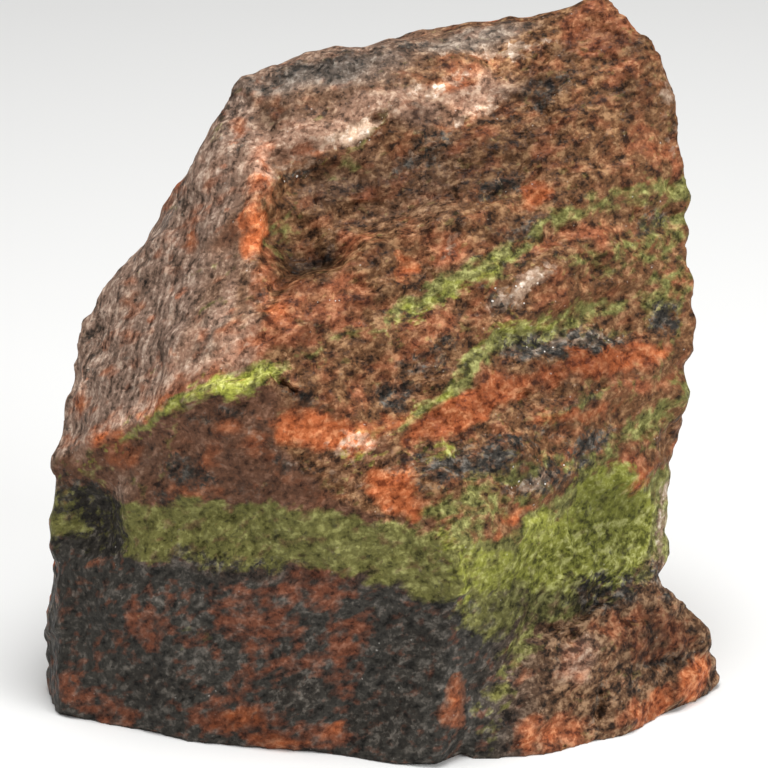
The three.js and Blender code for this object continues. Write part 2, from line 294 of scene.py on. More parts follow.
# patches of a mineral on each break: centre in the picture in pixels, length and width on the stone
# in mm, lean of the length in the picture in degrees, share of the patch that the mineral fills
patches = {
    "rust": {
        "top": (
            (478, 136, 6, 2.6, 25, 0.85), (456, 79, 6, 3, 10, 0.85), (479, 58, 3, 1.6, 5, 0.8),
            (600, 33, 8, 6, 10, 0.8), (282, 105, 3, 1.2, 5, 0.8), (522, 113, 3.4, 1.6, 15, 0.8),
            (616, 72, 5, 2.4, 10, 0.75), (643, 141, 5, 3.2, 10, 0.75), (669, 157, 3, 2, 10, 0.9),
            (335, 80, 4, 2, 10, 0.5), (590, 120, 6, 3, 15, 0.55),
        ),
        "slope": (
            (239, 124, 3, 2, 80, 0.8), (185, 242, 3.6, 2.4, 75, 0.8), (129, 300, 3.4, 1.8, 60, 0.7),
            (154, 329, 3, 2, 70, 0.65), (170, 392, 14, 2.6, 22, 0.85), (250, 350, 6, 2.6, 25, 0.85),
            (110, 447, 5, 2.2, 25, 0.85), (165, 300, 6, 1, 68, 0.6), (205, 230, 7, 1, 70, 0.55),
            (235, 180, 7, 1, 75, 0.55), (120, 390, 7, 1.2, 65, 0.6), (80, 400, 6, 2.2, 80, 0.8),
            (150, 380, 8, 2, 55, 0.6), (200, 350, 8, 2, 60, 0.6), (232, 330, 7, 2.4, 70, 0.6),
            (105, 420, 7, 2, 40, 0.7), (215, 125, 4, 2, 70, 0.6), (222, 196, 5, 1.4, 75, 0.5),
        ),
        "front": (
            (548, 376, 6, 2.2, 20, 0.75), (605, 403, 4.5, 1.5, 10, 0.8), (640, 384, 6.5, 1.6, 8, 0.85),
            (447, 252, 5, 3.8, 20, 0.85), (578, 240, 9, 2.6, 15, 0.85), (557, 291, 4.5, 3, 20, 0.85),
            (668, 282, 4.5, 2.2, 20, 0.85), (425, 330, 7, 2.6, 20, 0.85), (354, 236, 4, 3.2, 20, 0.85),
            (365, 195, 2.6, 2.2, 20, 0.75), (310, 147, 2.8, 1.3, 0, 0.85), (345, 292, 3, 2.4, 60, 0.85),
            (480, 290, 5, 2.5, 20, 0.7), (566, 458, 3, 1.8, 25, 0.85), (312, 312, 12, 6, 25, 0.9),
            (400, 360, 8, 4, 25, 0.65), (350, 405, 8, 3, 10, 0.7), (478, 399, 14, 4, 27, 0.75),
            (622, 357, 14, 3.4, 10, 0.8), (262, 280, 8, 2.2, 82, 0.8), (258, 198, 14, 3.0, 87, 0.6),
            (620, 300, 8, 2, 15, 0.5), (400, 240, 8, 4, 20, 0.6), (543, 160, 7, 3, 75, 0.75),
            (634, 470, 5, 3.4, 30, 1.0),
        ),
        "wall": (
            (126, 458, 5, 3, 30, 0.7), (193, 493, 5, 2.8, 0, 0.85), (209, 464, 4, 2, 60, 0.75),
            (240, 438, 7, 2, -20, 0.8), (300, 480, 6, 2.4, -20, 0.65), (258, 455, 5, 2.4, -20, 0.65),
        ),
        "rightWall": (
            (522, 668, 3.4, 3, 60, 0.5), (576, 662, 5.5, 3.4, 40, 0.6), (610, 636, 3, 3, 80, 0.5),
            (648, 636, 13, 6, -12, 0.72), (556, 735, 8, 4, 12, 0.9), (452, 712, 5.4, 3.4, 85, 0.75),
            (640, 712, 9, 3, 30, 0.85),
        ),
    },
    "brick": {
        "wall": (
            (146, 625, 5, 4.4, -30, 0.95), (225, 596, 5, 4, 0, 0.85), (262, 628, 8, 5, 5, 0.95),
            (310, 588, 10, 4, 5, 0.95), (345, 638, 5, 5, 0, 0.9), (195, 646, 5, 3, -20, 0.75),
            (110, 640, 5, 3, 0, 0.55), (340, 690, 4, 3, 0, 0.8), (72, 690, 5, 4, -40, 0.9),
            (100, 706, 9, 3.4, -14, 0.9), (305, 735, 10, 4, 0, 0.9), (235, 716, 10, 4.4, -5, 0.95),
            (255, 672, 7, 3, 20, 0.8), (310, 664, 8, 3, 0, 0.85), (175, 600, 4, 3, 0, 0.6),
        ),
    },
    "orange": {
        "top": ((590, 49, 4, 2.2, 10, 0.5),),
        "slope": ((105, 437, 7, 1.6, 32, 0.75), (150, 408, 7, 1.4, 28, 0.65)),
        "front": (
            (318, 433, 9.5, 3.4, -12, 1.05), (375, 424, 6, 2, 18, 0.85),
            (393, 492, 6.5, 3.8, -35, 0.95), (470, 407, 12, 3.4, 27, 1.1),
            (640, 480, 4.4, 2.6, 40, 0.85), (612, 358, 12, 2.6, 12, 1.0), (545, 378, 8, 2.2, 18, 0.75),
            (575, 415, 9, 2.0, 14, 0.7), (420, 436, 6, 1.8, 27, 0.55), (536, 190, 3.4, 3.0, 30, 0.85),
            (404, 268, 3.2, 2.6, 20, 0.75), (275, 312, 3.4, 3.2, 45, 0.7), (260, 155, 6, 2.8, 86, 0.55),
            (260, 187, 5, 2.6, 88, 0.65), (257, 234, 5, 2.3, 88, 0.95),
        ),
        "wall": (
            (238, 718, 6, 3, -10, 0.68), (285, 742, 7, 2.6, -6, 0.72), (334, 730, 3, 2.6, 60, 0.7),
        ),
        "rightWall": (
            (516, 517, 4.2, 1.4, 8, 0.7), (497, 526, 2.4, 1.4, 20, 0.6), (452, 718, 3.4, 2.4, 85, 0.55),
            (694, 676, 6, 4, 40, 0.95), (655, 702, 10, 3, 28, 0.8), (550, 737, 7, 2.4, 14, 0.65),
        ),
    },
    "green": {
        "top": ((362, 140, 7, 1.2, 55, 0.75),),
        "slope": ((225, 388, 9, 1.4, 20, 0.85), (215, 140, 4, 2, 70, 0.4)),
        "front": (
            (652, 240, 8, 5, 20, 0.62), (598, 470, 5, 3, 40, 0.9), (440, 445, 4, 1.4, 30, 0.6),
            (520, 465, 6, 1.4, 20, 0.5), (560, 425, 7, 1.2, 20, 0.5), (660, 425, 7, 1.6, 45, 0.65),
            (645, 205, 8, 2.2, 8, 0.5), (285, 235, 6, 3, 70, 0.6), (620, 262, 12, 3, 15, 0.45),
            (486, 478, 9, 3, 18, 0.65), (668, 290, 8, 5, 45, 0.65), (600, 335, 9, 2, 12, 0.55),
            (670, 196, 5, 3, 10, 0.5), (670, 340, 6, 2, 70, 0.6), (345, 180, 5, 1, 40, 0.5),
            (590, 275, 5, 1.6, 20, 0.5),
        ),
        "wall": (
            (58, 518, 8, 1.6, 85, 0.6), (170, 450, 5, 1.2, 70, 0.55), (130, 480, 6, 1.6, -30, 0.5),
            (90, 478, 5, 1.6, 30, 0.6),
        ),
        "rightWall": (
            (492, 612, 8, 5, 10, 0.9), (522, 640, 6, 4, 60, 0.7), (642, 575, 2.4, 1.6, 60, 0.8),
            (496, 700, 9, 3.6, 80, 0.55), (465, 525, 5, 3, 0, 0.8), (505, 500, 11, 2.6, 10, 0.7),
            (590, 592, 7, 2.4, 15, 0.6), (545, 602, 10, 4, 0, 0.85), (455, 506, 8, 2.4, 10, 0.85),
        ),
    },
    "lime": {
        "top": ((355, 133, 5, 0.6, 50, 0.5),),
        "slope": (
            (236, 382, 9, 2.0, 17, 1.0), (180, 402, 7, 1.0, 22, 0.8), (130, 442, 9, 0.5, 30, 0.6),
        ),
        "front": (
            (420, 318, 6, 0.9, 25, 0.5), (505, 333, 9, 1.6, 25, 0.62), (430, 303, 8, 1.4, 22, 0.7),
            (422, 408, 7, 1, 35, 0.75), (590, 480, 4, 2, 60, 0.5), (362, 455, 5, 2.6, 20, 0.5),
            (440, 452, 4, 2.6, 20, 0.65), (520, 330, 8, 1.2, 22, 0.6), (470, 282, 9, 1.4, 28, 0.7),
        ),
        "rightWall": (
            (459, 577, 5.4, 0.7, -78, 0.9), (502, 566, 11, 5, 5, 0.85), (610, 525, 11, 12, 0, 0.95),
            (568, 545, 8, 0.6, 88, 0.8), (545, 552, 8, 8, 0, 0.9), (610, 524, 7, 0.4, 0, 0.6),
        ),
    },
    "dark": {
        "top": ((540, 93, 6, 3, 20, 0.65), (300, 66, 16, 3, 15, 0.65), (390, 50, 12, 2.6, 12, 0.65)),
        "slope": (
            (95, 350, 9, 3, 75, 0.55), (150, 262, 9, 2, 65, 0.4), (222, 140, 4, 3, 70, 0.5),
            (180, 195, 8, 1.6, 60, 0.45),
        ),
        "front": (
            (497, 188, 6, 2.4, 20, 0.78), (500, 302, 3.4, 2.4, 20, 0.75), (560, 346, 13, 2.8, 10, 0.95),
            (665, 315, 3.4, 2.8, 0, 0.95), (478, 462, 12, 3.8, 14, 0.85), (591, 444, 7, 2.6, 25, 0.85),
            (425, 356, 7, 2.6, 30, 0.65), (404, 385, 5, 2.8, 30, 0.75), (433, 138, 5, 4, 20, 0.6),
            (318, 262, 6, 3, 15, 0.4), (540, 440, 6, 2, 20, 0.7), (420, 464, 6, 2, 10, 0.65),
            (545, 478, 8, 2.4, 18, 0.8), (300, 172, 3, 1.4, 0, 0.8), (262, 290, 4, 1.6, 60, 0.5),
            (520, 232, 6, 2, 25, 0.75), (650, 222, 4, 2.4, 20, 0.7), (580, 400, 6, 1, 15, 0.7),
            (295, 395, 5, 1.8, -20, 0.8), (415, 165, 7, 2.4, 18, 0.7),
        ),
        "wall": (
            (78, 502, 5, 6, 80, 0.75), (108, 519, 7.5, 5.5, -60, 0.95), (95, 546, 8, 2, 0, 0.9),
            (225, 564, 14, 1.8, -3, 0.8), (410, 665, 11, 5.5, 85, 0.65), (400, 720, 7, 5, 85, 0.75),
            (188, 476, 6, 3.4, -20, 0.8), (165, 497, 4, 2.4, 0, 0.6), (225, 416, 7, 1.6, 15, 0.65),
            (285, 460, 7, 2, -25, 0.5), (295, 696, 5, 3.4, 0, 0.9), (150, 682, 9, 3, -10, 0.8),
            (370, 720, 4, 6, 85, 0.8), (80, 600, 5, 6, 85, 0.6), (240, 490, 5, 1.6, 0, 0.5),
        ),
        "rightWall": (
            (602, 584, 10, 4, 12, 0.72), (445, 630, 8, 3, 80, 0.65), (505, 640, 6, 4, 60, 0.45),
            (672, 590, 4, 2.4, -45, 0.85), (668, 662, 8.5, 0.9, 8, 0.9), (600, 705, 5, 0.9, 82, 0.9),
            (540, 700, 6, 3, 60, 0.35), (610, 548, 4, 0.8, 10, 0.7), (600, 530, 7, 4, 80, 0.35),
            (635, 685, 7, 2, 25, 0.6), (474, 660, 4, 2, 70, 0.5), (555, 655, 5, 1, 60, 0.6),
            (655, 572, 2, 1.2, 60, 0.8),
        ),
    },
    "pale": {
        "top": (
            (350, 132, 5.5, 2.0, 20, 1.1), (430, 86, 5, 1.6, 15, 0.8), (490, 48, 8, 1.6, 8, 0.7),
            (385, 110, 2.4, 1.2, 30, 0.75), (458, 118, 2, 1, 10, 0.7), (488, 103, 5, 2.2, 15, 0.5),
            (513, 56, 1.4, 1, 0, 0.7), (668, 89, 3, 1.6, 80, 0.7), (675, 137, 3, 1.6, 80, 0.6),
        ),
        "front": (
            (530, 285, 6, 2, 30, 0.8), (500, 308, 4, 2, 20, 0.55), (450, 245, 1.8, 0.5, 55, 0.8),
            (290, 165, 8, 3, 20, 0.35), (355, 448, 5, 2, 10, 0.65), (420, 150, 5, 2, 20, 0.35),
            (565, 343, 9, 1.6, 10, 0.6), (535, 480, 6, 1.4, 15, 0.6),
        ),
        "wall": ((250, 440, 13, 0.5, -24, 0.55),),
        "rightWall": ((450, 692, 2, 1.4, 0, 0.6), (660, 522, 9, 1.1, 86, 0.95)),
    },
    # painted glints: near-white specks in the colour where the stone sparkles
    "paintedGlint": {
        "top": ((370, 124, 5, 1.6, 30, 0.5),),
        "slope": ((203, 171, 1.2, 1.0, 60, 0.8),),
        "front": (
            (520, 290, 8, 4, 30, 0.35), (560, 345, 7, 1.6, 12, 0.35), (303, 173, 1.2, 1.0, 60, 0.9),
            (500, 190, 4, 2, 20, 0.3), (535, 477, 6, 1.4, 15, 0.5), (330, 300, 2, 1.4, 20, 0.5),
        ),
        "wall": ((110, 690, 1.4, 1.2, 0, 0.6),),
    },
}
chances = {
    "stray": ((3.2, 1.0), (1.3, 0.6)),  # how far patches and veins stray: span and reach in mm
    "patchEdge": (-1.3, 0.9),  # mm outside and inside a patch's rim over which it gives out
    "veinEdge": (-1.2, 0.8),
    "bandFill": 0.95,
    "patchDepth": 0.8,  # share of a patch's width that it reaches into the stone
    "leastDepth": 1.8,  # mm
    "leastFacing": 0.3,  # limits how far a lean is drawn out on a face that the picture sees edge on
    "pictured": (0.02, 0.25),  # facing of a point that the picture starts to show and shows whole
    "wildFill": 0.8,
    "picturedWild": 0.35,  # how much of the scattered patches the pictured side keeps
    "filmAndSheenWild": 0.35,  # and how much more where it has the grey film and painted sheen
    "lowEdge": (16.5, 19.5),  # mm over the base where the dark lower rock gives way
    "lowContrast": 0.65,
    "shade": 0.91,  # of the whole stone
    "slopeFilmAndSheen": (-12.2, -10.6),  # mm of x where the slope's grey film and painted sheen give out
    "topFilmAndSheen": (-2, 10),
    "filmAndSheenFoot": (46, 51),  # mm over the base where the top's grey film and painted sheen start
    "paleToe": 0.75,  # share of the dark lower rock that the toe lacks
    "toeSide": (8, 18),  # mm of x
    "toeContrast": 0.5,  # how much more the toe's grains differ
    # scattered patches: span along and across the layers in mm, noise levels
    "wild": {
        "rust": (5, 1.8, 0.0, 0.5),
        "orange": (4.5, 1.6, 0.2, 0.65),
        "dark": (5, 1.7, 0.1, 0.6),
        "pale": (3, 1.2, 0.3, 0.9),
        "green": (9, 1.3, 0.35, 0.8),
    },
    "wildOctaves": 3,
    "wildShift": (10, 7),  # how far apart the scattered patches are drawn: first and step
    # chance of a single grain in each kind of plain rock
    "grains": {
        "frontRock": {
            "rust": 0.45, "orange": 0.16, "green": 0.24, "dark": 0.17, "pale": 0.12, "paintedGlint": 0.06,
        },
        "greyRock": {"rust": 0.2, "green": 0.14, "dark": 0.3, "pale": 0.16, "paintedGlint": 0.05},
        "blush": {"rust": 0.3, "orange": 0.12, "green": 0.1, "dark": 0.16, "pale": 0.3, "paintedGlint": 0.08},
        "filmAndSheen": {"rust": 0.26, "orange": 0.05, "green": 0.12, "dark": 0.24, "pale": 0.16, "paintedGlint": 0.05},
        "wallRock": {
            "rust": 0.28, "orange": 0.05, "green": 0.12, "dark": 0.28, "pale": 0.08, "paintedGlint": 0.02,
        },
        "lowRock": {"brick": 0.36, "green": 0.1, "dark": 0.2, "pale": 0.05, "paintedGlint": 0.05},
    },
}

# wide pale tones of the plain rock, placed as the patches are
tones = {
    "greyRock": {
        "top": ((320, 74, 22, 5, 12, 0.85), (470, 36, 18, 4, 10, 0.7)),
        "slope": ((215, 320, 12, 4, 70, 0.5), (170, 215, 8, 3, 60, 0.4)),
    },
    "blush": {
        "top": (
            (300, 138, 15, 5, 15, 0.8), (385, 100, 16, 4, 12, 0.7), (474, 94, 12, 6, 10, 0.75),
            (420, 110, 11, 4, 15, 0.7),
        ),
        "slope": (
            (175, 384, 20, 4, 24, 0.65), (90, 445, 9, 3, 40, 0.6), (235, 358, 9, 4, 25, 0.7),
            (258, 160, 10, 4, 86, 0.95), (222, 300, 9, 3, 70, 0.65), (238, 342, 8, 3.4, 45, 0.75),
            (180, 350, 9, 3, 55, 0.65), (215, 180, 7, 2.4, 75, 0.65),
        ),
        "rightWall": ((576, 664, 7, 4.4, 40, 0.8),),
    },
}
toneEdge = (0.0, 0.7)  # share of a tone's radius over which it fades

# darker and lighter places, placed as the patches are: the last number multiplies the colour.
# Many paint shade into hollows, under the scoop's rim and the panel and on faces turned from the light,
# and many paint highlight on the crest, the rib, the ledges and the shoulder;
# the rest only darken or lighten the colour in place
shades = {
    # painted shade in the scoop's hollow
    "scoopDepth": (312, 264, 12, 7, 30, 0.22),
    "kneeShadow": (296, 399, 7, 2.8, -20, 0.42),
    # painted shade in a hollow of the top
    "topHollow": (532, 91, 10, 5, 15, 0.42),
    "topPeak": (618, 42, 11, 6, 10, 0.62),
    "topBehindPeak": (566, 50, 6, 4, 10, 0.55),
    # painted shade over the upper front, which turns from the light, in these two places
    "frontUpper": (475, 160, 28, 11, 15, 0.58),
    "frontUpperLeft": (350, 185, 16, 9, 20, 0.62),
    "rightUpper": (630, 92, 10, 6, 10, 0.62),
    "underVein": (508, 232, 9, 4, 24, 0.62),
    "orangeDot": (536, 190, 5, 4, 30, 0.75),
    "orangeMiddle": (488, 397, 13, 5, 26, 0.58),
    "orangeStart": (428, 424, 8, 4, 30, 0.55),
    "orangeLow": (578, 415, 10, 4, 14, 0.6),
    "orangeRight": (588, 364, 19, 6.5, 13, 0.5),
    # painted highlight along the crest, in these three places
    "crest": (228, 385, 13, 3.0, 18, 1.6),
    "crestLeft": (130, 420, 15, 4.4, 28, 1.65),
    "crestUpper": (225, 360, 10, 3.4, 25, 1.35),
    "leftSide": (82, 385, 7, 4, 80, 1.5),
    # painted highlight along the rib, in these three places
    "rib": (258, 165, 8, 3, 85, 1.5),
    "ribLow": (254, 234, 9, 4, 85, 1.6),
    "ribFoot": (262, 312, 6, 4, 60, 1.25),
    "underRib": (312, 330, 9, 4, 20, 0.65),
    "overVein": (368, 298, 8, 3, 20, 0.62),
    "wallTop": (180, 438, 8, 3, 20, 1.4),
    # painted shade under the scoop's rim
    "underScoop": (304, 290, 6, 2.5, 10, 0.6),
    "besideScoop": (378, 250, 7, 3, 20, 0.72),
    "besideKnee": (360, 448, 8, 4, 10, 1.9),
    "farEdge": (325, 68, 24, 5, 13, 0.58),
    "shoulderLeft": (280, 110, 7, 3, 10, 0.5),
    "besideQuartz": (418, 116, 7, 3.4, 15, 0.55),
    "quartz": (350, 132, 8, 3, 15, 1.8),
    "yellowLedge": (430, 86, 6, 3, 15, 1.5),
    "farRight": (485, 48, 10, 3, 8, 1.3),
    # painted highlight on the ledges and the shoulder, which face up to the light, in these three places
    "topLedge": (480, 70, 13, 5, 12, 1.4),
    "ledge": (472, 110, 9, 3, 12, 1.6),
    "shoulder": (345, 118, 12, 4, 14, 1.25),
    "betweenVeins": (592, 222, 8, 3, 15, 1.35),
    "slopeUpper": (222, 238, 8, 4.4, 70, 1.45),
    "slopeMiddle": (200, 335, 13, 7, 50, 1.3),
    "slopeByRib": (236, 310, 14, 5, 72, 1.35),
    "paleStreak": (530, 286, 5, 4, 30, 1.35),
    "footLeft": (230, 715, 22, 4, 0, 0.75),
    "toeMiddle": (655, 640, 16, 10, -12, 0.42),
    # painted shade under the panel
    "underPanelRight": (545, 608, 24, 7, 3, 0.52),
    "overPanel": (520, 470, 6, 3.4, 18, 0.5),
    # painted shade on the panel's set-back right part
    "panelRight": (608, 520, 17, 19, 0, 0.42),
    "panelLeft": (530, 566, 19, 11, 5, 0.62),
    "toeLip": (660, 700, 16, 4, 25, 0.7),
    "toeLeft": (508, 692, 9, 5, 75, 1.7),
    "underPanel": (384, 612, 8, 4, 0, 1.3),
    "lowLeft": (165, 600, 12, 5, 0, 1.3),
    "footRed": (270, 735, 12, 4, -8, 0.65),
}
shadeEdge = (0.0, 0.8)

# small forms on the breaks, placed as the patches are: the last number is the height in mm
forms = {
    "scoop": (312, 225, 16, 11, 60, -0.3),
    "scoopRim": (306, 280, 9, 5, 15, 0.45),
    "peakCorner": (617, 15, 5, 4, -50, 0.7),
    "peakSide": (663, 55, 6, 4, -60, -0.5),
    "rightEdge": (684, 392, 6, 6, 85, 0.8),
    "rightEdgeLow": (674, 438, 5, 5, 80, -0.6),
    "toeEdge": (699, 636, 6, 4, -55, 0.7),
    "leftEdge": (86, 333, 5, 4, 60, 0.6),
    "leftEdgeLow": (71, 378, 5, 4, 85, -0.6),
    "slopeEdge": (172, 196, 5, 4, 55, -0.5),
    "brow": (300, 138, 11, 2.4, 15, 0.5),
    "pitUnderQuartz": (375, 122, 2.4, 1.8, 30, -1.0),
    "rib": (256, 195, 11, 2.0, 88, 0.7),
    "crest": (228, 388, 13, 2.0, 18, 0.6),
    "crackAtKnee": (284, 384, 5, 0.9, -45, -0.7),
    "leftHollow": (96, 515, 9, 6, 70, -0.8),
    "panelEdge": (460, 572, 6, 1.4, -80, 0.4),
    "panelStep": (566, 545, 8, 1.2, 88, 0.4),
    "toeCrack": (600, 705, 6, 1.2, 82, -0.6),
    "underToe": (668, 663, 9, 1.2, 8, -0.5),
    "toeLip": (680, 690, 10, 3, 35, 0.5),
}
formEdge = (0.0, 0.7)  # share of a form's radius over which it rises


def pictureHit(tree, px, py):  # where a pixel of the picture meets the stone, in mm
    middle = Vector((shot["picture"] / 2, shot["picture"] / 2))
    pixel = Vector((px, py))
    while True:
        step = (pixel - middle) * shot["pixel"]
        ray = Vector(shot["target"]) + shotRight * step.x - shotUp * step.y - shotPlace
        place, normal, _, _ = tree.ray_cast(shotPlace * mm, ray.normalized())
        if place:
            return place / mm, normal
        pixel = pixel.lerp(middle, shot["moveIn"])


def ovalDepth(tree, points, px, py, length, width, lean):
    # 1 in the middle of an oval on the stone, 0 on its rim and less outside
    centre, normal = pictureHit(tree, px, py)
    lean = math.radians(lean)
    inPicture = shotRight * math.cos(lean) + shotUp * math.sin(lean)
    faced = max(shotBack.dot(normal), chances["leastFacing"])
    along = inPicture - shotBack * (inPicture.dot(normal) / faced)
    along = (along - normal * along.dot(normal)).normalized()
    depth = max(width * chances["patchDepth"], chances["leastDepth"])
    offset = points - np.array(centre)
    share = sum(
        (offset @ np.array(axis) / (size / 2)) ** 2
        for axis, size in ((along, length), (normal.cross(along), width), (normal, depth * 2))
    )
    return 1 - np.sqrt(share)


def patchChance(tree, points, patch):
    px, py, length, width, lean, fill = patch
    depth = ovalDepth(tree, points, px, py, length, width, lean)
    return fill * smooth(*chances["patchEdge"], depth * width / 2)


def formHeights(piece, points):  # mm, for each point
    tree = BVHTree.FromObject(piece, bpy.context.evaluated_depsgraph_get())
    return sum(
        height * smooth(*formEdge, ovalDepth(tree, points, *oval))
        for *oval, height in forms.values()
    )


def veinChance(points, route):
    x, height, half, fill = np.array(route).T
    layerHeight = points @ np.array(layers["rise"])
    middle = np.interp(points[:, 0], x, height)
    halfHere = np.interp(points[:, 0], x, half, left=-veinStop, right=half[-1])
    depthInside = halfHere - np.abs(layerHeight - middle) / layers["rise"].length
    return np.interp(points[:, 0], x, fill) * smooth(*chances["veinEdge"], depthInside)


def bandChance(points):
    x, low, high = np.array(band).T
    z = points[:, 2]
    overLow = z - np.interp(points[:, 0], x, low)
    underHigh = np.interp(points[:, 0], x, high) - z
    depthInside = np.minimum(overLow, underHigh)
    return chances["bandFill"] * smooth(*chances["veinEdge"], depthInside)


def wildChance(points, spanAlong, spanAcross, low, high, away):
    shift = Vector((away, away * 2, away * 3))
    levels = [
        cloudAt(layerPoint(Vector(point), spanAlong, spanAcross) + shift, chances["wildOctaves"])
        for point in points
    ]
    return smooth(low, high, np.array(levels))


def strayed(points):  # points moved unevenly, so that rims and veins wind
    moves = []
    for point in points:
        winds = [noise.noise_vector(Vector(point) / span) * reach for span, reach in chances["stray"]]
        moves.append(sum(winds, Vector()))
    return points + np.array(moves)


def filmAndSheenShare(points, shares):  # how much of the rock the grey film and painted sheen cover
    x, _, z = points.T
    ends = {
        "slope": 1 - smooth(*chances["slopeFilmAndSheen"], x),
        "top": (1 - smooth(*chances["topFilmAndSheen"], x)) * smooth(*chances["filmAndSheenFoot"], z),
    }
    return sum(shares[name] * filmAndSheen * ends.get(name, 1) for name, (_, _, _, filmAndSheen, _) in breaks.items())


def toneShare(tree, winding, areas):
    return np.max([
        weight * smooth(*toneEdge, ovalDepth(tree, winding, *oval))
        for places in areas.values() for *oval, weight in places
    ], axis=0)


def shownRocks(rocks):  # how much of each rock shows, where each covers the ones before it
    bare = np.ones(len(rocks["filmAndSheen"]))
    shown = {}
    for rock in reversed(rocks):
        shown[rock] = rocks[rock] * bare
        bare = bare - shown[rock]
    shown["frontRock"] = bare
    return shown


def mineralChances(tree, points, winding, rocks, pictured):
    shown = shownRocks(rocks)
    minerals = {}
    for mineral, areas in patches.items():
        chance = sum(weight * chances["grains"][rock].get(mineral, 0) for rock, weight in shown.items())
        for places in areas.values():
            for patch in places:
                chance = np.maximum(chance, patchChance(tree, winding, patch))
        minerals[mineral] = chance
    kept = chances["picturedWild"] + chances["filmAndSheenWild"] * rocks["filmAndSheen"]
    firstShift, shiftStep = chances["wildShift"]
    for number, (mineral, shape) in enumerate(chances["wild"].items()):
        wild = wildChance(points, *shape, firstShift + number * shiftStep)
        wild *= chances["wildFill"] * (1 - pictured * (1 - kept))
        minerals[mineral] = np.maximum(minerals[mineral], wild)
    for route in veins.values():
        minerals["green"] = np.maximum(minerals["green"], veinChance(winding, route))
    minerals["green"] = np.maximum(minerals["green"], bandChance(winding))
    return minerals


def grainChances(piece, points, normals, shares):  # everything that the material reads from the mesh
    tree = BVHTree.FromObject(piece, bpy.context.evaluated_depsgraph_get())
    pictured = smooth(*chances["pictured"], normals @ np.array(shotBack))
    winding = strayed(points)
    toe = smooth(*chances["toeSide"], points[:, 0])
    low = 1 - smooth(*chances["lowEdge"], winding[:, 2])
    low *= 1 - chances["paleToe"] * toe
    rocks = {"wallRock": shares["wall"], "filmAndSheen": filmAndSheenShare(points, shares)}
    for tone, areas in tones.items():
        rocks[tone] = toneShare(tree, winding, areas)
    rocks["lowRock"] = low
    minerals = mineralChances(tree, points, winding, rocks, pictured)
    contrast = sum(shares[name] * part for name, (*_, part) in breaks.items())
    contrast = contrast + (chances["lowContrast"] - contrast) * low
    contrast = contrast * (1 + chances["toeContrast"] * toe * (low > 0))
    # painted shade and painted highlight: each of the shades' ovals multiplies the colour, over a factor
    # for the whole stone
    shade = np.full(len(points), chances["shade"])
    for *oval, factor in shades.values():
        shade *= 1 + (factor - 1) * smooth(*shadeEdge, ovalDepth(tree, winding, *oval))
    return {**rocks, **minerals, "contrast": contrast, "shade": shade}


def storeChances(piece, values):
    for name, chance in values.items():
        layer = piece.data.attributes.new(name, "FLOAT", "POINT")
        layer.data.foreach_set("value", chance.astype(np.float32))


